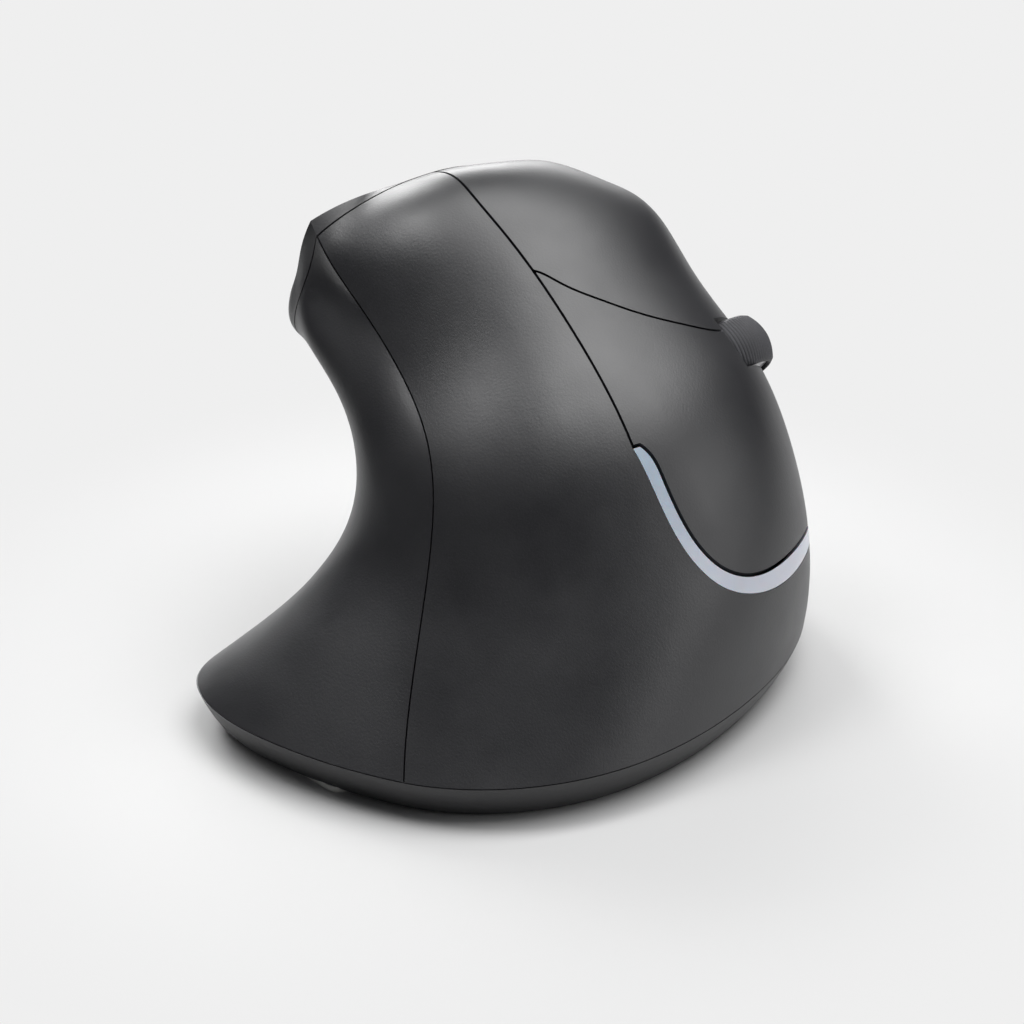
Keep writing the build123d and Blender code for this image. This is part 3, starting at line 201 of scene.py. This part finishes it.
# Skates are skived fluoropolymer sheet, waxy and slightly milky.
skate_sheet = plastic("skate_ptfe_sheet_skived", ("#D3D3CE", "#E2E2DD"), grain_mm=0.5, depth_mm=0.004,
                      rough=(0.28, 0.38), cloud_mm=6.0)
board_epoxy = plastic("board_glass_epoxy_masked", ("#123F26", "#1B5233"), grain_mm=0.5, depth_mm=0.006,
                      rough=(0.3, 0.4), cloud_mm=5.0)
cell_film = plastic("battery_shrink_film", ("#3E444C", "#50565F"), grain_mm=0.8, depth_mm=0.01,
                    rough=(0.22, 0.3))
led_epoxy = plastic("led_epoxy_cast", ("#E0E0D8", "#EDEDE6"), grain_mm=0.4, depth_mm=0.002, rough=(0.15, 0.2))


def metal(name, colours, grain_mm, rough):
    """Drawn or formed metal with fine lines of wear."""
    made, tree, shader = material(name, {"Metallic": 1.0})
    grain(tree, shader, grain_mm, 0.002, colours, 3.0, rough)
    return made


steel = metal("pin_steel_drawn", ("#A3A3A5", "#B9B9BB"), 0.2, (0.25, 0.35))
port_steel = metal("port_steel_nickel_plated", ("#9B9B9C", "#B4B4B5"), 0.25, (0.2, 0.3))
lens_acrylic, lens_tree, lens_shader = material("lens_acrylic_moulded", {"IOR": 1.49,
                                                                        "Transmission Weight": 0.9})
lens_place = add(lens_tree, "ShaderNodeTexCoord").outputs["Object"]
lens_cloud = add(lens_tree, "ShaderNodeTexNoise", {"Vector": lens_place, "Scale": per_metre(2.0)})
lens_colour = add(lens_tree, "ShaderNodeMix", {0: lens_cloud.outputs["Fac"], 6: linear("#D9DEE2"),
                                               7: linear("#E6EAEC")}, data_type="RGBA")
lens_tree.links.new(lens_colour.outputs[2], lens_shader.inputs["Base Color"])
lens_gloss = add(lens_tree, "ShaderNodeMapRange", {"Value": lens_cloud.outputs["Fac"], "To Min": 0.05,
                                                   "To Max": 0.12})
lens_tree.links.new(lens_gloss.outputs["Result"], lens_shader.inputs["Roughness"])

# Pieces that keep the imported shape, joined and shaded smooth
dressed = {
    "main_cover": ("housing", graphite_abs, "housing_plastic"),
    "front_trim": ("housing", graphite_abs, "housing_plastic"),
    "thumb_cover": ("housing", graphite_abs, "housing_plastic"),
    "thumb_panel": ("housing", panel_abs, "panel_plastic"),
    "left_button": ("left_button", graphite_abs, "button_plastic"),
    "right_button": ("right_button", graphite_abs, "button_plastic"),
    "light_strip": ("housing", strip_polycarbonate, "strip_plastic"),
    "side_button_front": ("side_button_front", graphite_abs, "button_plastic"),
    "side_button_rear": ("side_button_rear", graphite_abs, "button_plastic"),
    "bottom_case": ("housing", base_abs, "base_plastic"),
    "scroll_wheel_hub": ("scroll_wheel", hub_abs_and_painted_highlight, "hub_plastic"),
}
for node, (body, finish, slot) in dressed.items():
    piece = smooth_copy(node, node + "_skin")
    piece.data.materials.append(finish)
    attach(piece, body)
    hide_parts(node)


# Ribbed tyre: the wheel's place on the leaning palm side, and its sizes, in millimetres
lean = math.radians(44.0)
wheel_across = -26.5
wheel_forward = 34.0
wheel_high = 35.2
tyre_radius = 11.5
tyre_bore_radius = 9.52
tyre_width = 8.2
tyre_barrel = 1.3
rib_pitch = 0.66
rib_depth = 0.22
rib_fade = 0.5
rib_fullness = 0.7
steps_per_rib = 8
tread_steps = 21
side_steps = 5
shoulder_radius = 0.35
wheel_axis = np.array([math.cos(lean), 0.0, -math.sin(lean)])
wheel_out = np.array([math.sin(lean), 0.0, math.cos(lean)])
wheel_ahead = np.array([0.0, 1.0, 0.0])
wheel_centre = (wheel_across * wheel_axis + wheel_forward * wheel_ahead + wheel_high * wheel_out) * MM


def ribbed_tyre():
    """Tyre turned about the wheel's axle, with ribs across its tread.

    The section runs round the ring: along the tread, whose radius falls by the barrel times the
    square of the share of the half width, round the shoulders, down the sides and back along the
    bore. On the tread the radius drops by the rib depth times a rounded wave of the turn angle, one
    wave per rib pitch of arc, and the wave fades at the shoulders.
    """
    count = round(2 * math.pi * tyre_radius / rib_pitch)
    turn = np.linspace(0, 2 * np.pi, count * steps_per_rib, endpoint=False)
    across = np.linspace(-1, 1, tread_steps)
    half = tyre_width / 2
    from_edge = (1 - np.abs(across)) * half
    shoulder = np.clip(from_edge / shoulder_radius, 0, 1)
    round_off = shoulder_radius * (1 - np.sqrt(1 - (1 - shoulder) ** 2))
    tread = tyre_radius - tyre_barrel * across ** 2 - round_off
    side_radii = np.linspace(tread[-1], tyre_bore_radius, side_steps + 1)[1:]
    section_radius = np.concatenate([tread, side_radii, side_radii[::-1]])
    section_across = np.concatenate([across * half, np.full(side_steps, half), np.full(side_steps, -half)])
    wave = np.abs(np.sin(turn * count / 2)) ** rib_fullness
    fade = np.concatenate([np.clip(from_edge / rib_fade, 0, 1), np.zeros(2 * side_steps)])
    radii = section_radius[None, :] - rib_depth * (1 - wave)[:, None] * fade[None, :]
    around = np.cos(turn)[:, None, None] * wheel_out + np.sin(turn)[:, None, None] * wheel_ahead
    points = wheel_centre + MM * (radii[..., None] * around + section_across[None, :, None] * wheel_axis)
    return ring_surface("ribbed_tyre", points)


tyre = ribbed_tyre()
tyre.data.materials.append(tyre_rubber)
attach(tyre, "scroll_wheel")
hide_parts("scroll_wheel_tyre")

# Pieces that stay as packed and take a finish
finishes = {
    "inner_plastic": inner_abs, "circuit_board": board_epoxy, "switch_plastic": inner_abs,
    "plunger_plastic": plunger_acetal, "steel": steel, "port_steel": port_steel, "cell_wrap": cell_film,
    "sensor_package": inner_abs, "lens": lens_acrylic, "led_lens": led_epoxy, "knob_plastic": knob_abs,
    "skate_plastic": skate_sheet, "housing_plastic": graphite_abs, "panel_plastic": panel_abs,
    "button_plastic": graphite_abs, "strip_plastic": strip_polycarbonate, "base_plastic": base_abs,
    "hub_plastic": hub_abs_and_painted_highlight, "tyre_rubber": tyre_rubber,
}
for part in frame["record"]["subparts"]:
    for place in frame["nodes"][part["node"]].material_slots:
        place.material = finishes[part["material_slot"]]

# Floor
floor_reach = 3.0
floor_corners = [(-floor_reach, -floor_reach, 0), (floor_reach, -floor_reach, 0),
                 (floor_reach, floor_reach, 0), (-floor_reach, floor_reach, 0)]
floor_mesh = bpy.data.meshes.new("floor")
floor_mesh.from_pydata(floor_corners, [], [(0, 1, 2, 3)])
floor = bpy.data.objects.new("floor", floor_mesh)
bpy.context.scene.collection.objects.link(floor)
paper, paper_tree, paper_shader = material("floor_paper_matt", {
    "Base Color": linear("#CBCBCB"), "Roughness": 0.9, "Specular IOR Level": 0.2})
# Away from the mouse the sheet fades into the plain backdrop, for the camera alone.
paper_place = add(paper_tree, "ShaderNodeTexCoord").outputs["Object"]
paper_reach = add(paper_tree, "ShaderNodeVectorMath", {0: paper_place}, operation="LENGTH")
paper_fade = add(paper_tree, "ShaderNodeMapRange",
                 {"Value": paper_reach.outputs["Value"], "From Min": 44 * MM, "From Max": 112 * MM},
                 interpolation_type="SMOOTHSTEP")
paper_rays = add(paper_tree, "ShaderNodeLightPath")
paper_share = add(paper_tree, "ShaderNodeMath",
                  {0: paper_fade.outputs["Result"], 1: paper_rays.outputs["Is Camera Ray"]},
                  operation="MULTIPLY")
paper_plain = add(paper_tree, "ShaderNodeEmission", {"Color": linear("#EFEFEF")})
paper_mix = add(paper_tree, "ShaderNodeMixShader", {
    0: paper_share.outputs["Value"], 1: paper_shader.outputs["BSDF"], 2: paper_plain.outputs["Emission"]})
paper_end = next(node for node in paper_tree.nodes if node.type == "OUTPUT_MATERIAL")
paper_tree.links.new(paper_mix.outputs["Shader"], paper_end.inputs["Surface"])
floor.data.materials.append(paper)


# Light
def softbox(name, place, target, size, power, spread_degrees=180.0):
    """A rectangular soft light that faces its target, in millimetres, and shines within its spread."""
    lamp = bpy.data.lights.new(name, "AREA")
    lamp.shape = "RECTANGLE"
    lamp.size = size[0] * MM
    lamp.size_y = size[1] * MM
    lamp.energy = power
    lamp.spread = math.radians(spread_degrees)
    made = bpy.data.objects.new(name, lamp)
    made.location = Vector(place) * MM
    made.rotation_euler = (Vector(target) - Vector(place)).to_track_quat("-Z", "Y").to_euler()
    made.visible_camera = False
    bpy.context.scene.collection.objects.link(made)
    return made


target = (4.2, -6.4, 35.0)
softbox("overhead_softbox", (240, 370, 1300), target, (1250, 1150), 21.0)
softbox("back_wall", (-760, 700, 300), target, (1000, 420), 0.75, 50.0)
softbox("left_softbox", (-620, 160, 420), target, (300, 360), 0.4, 60.0)
softbox("palm_softbox", (-230, -210, 660), target, (260, 300), 1.7)
softbox("right_softbox", (760, 420, 330), target, (500, 500), 0.16, 50.0)

world = bpy.data.worlds.new("studio")
bpy.context.scene.world = world
world.use_nodes = True
sky = world.node_tree
sky.nodes.clear()
# Rays from the camera see the plain backdrop; the mouse is lit by a much dimmer room.
rays = add(sky, "ShaderNodeLightPath")
seen = add(sky, "ShaderNodeMath", {0: rays.outputs["Is Camera Ray"], 1: rays.outputs["Is Transmission Ray"]},
           operation="MAXIMUM")
room = add(sky, "ShaderNodeBackground", {"Color": linear("#E6E8EC"), "Strength": 0.07})
backdrop = add(sky, "ShaderNodeBackground", {"Color": linear("#EFEFEF"), "Strength": 1.0})
both = add(sky, "ShaderNodeMixShader", {0: seen.outputs["Value"], 1: room.outputs["Background"],
                                        2: backdrop.outputs["Background"]})
add(sky, "ShaderNodeOutputWorld", {"Surface": both.outputs["Shader"]})

# Camera, from behind and to the right of the mouse
azimuth = math.radians(46.5)
elevation = math.radians(28.0)
distance = 520 * MM
back = Vector((math.sin(azimuth) * math.cos(elevation), -math.cos(azimuth) * math.cos(elevation),
               math.sin(elevation)))
camera = bpy.data.objects.new("camera", bpy.data.cameras.new("camera"))
bpy.context.scene.collection.objects.link(camera)
camera.location = Vector(target) * MM + back * distance
camera.rotation_euler = (-back).to_track_quat("-Z", "Y").to_euler()
sensor_width = 36.0
focal_length = 120.66
rise_in_pixels = -12
picture_width = 1024
camera.data.sensor_width = sensor_width
camera.data.lens = focal_length
camera.data.shift_y = rise_in_pixels / picture_width
camera.data.clip_start = 10 * MM
camera.data.clip_end = 20.0
bpy.context.scene.camera = camera
bpy.context.scene.view_settings.view_transform = "Standard"
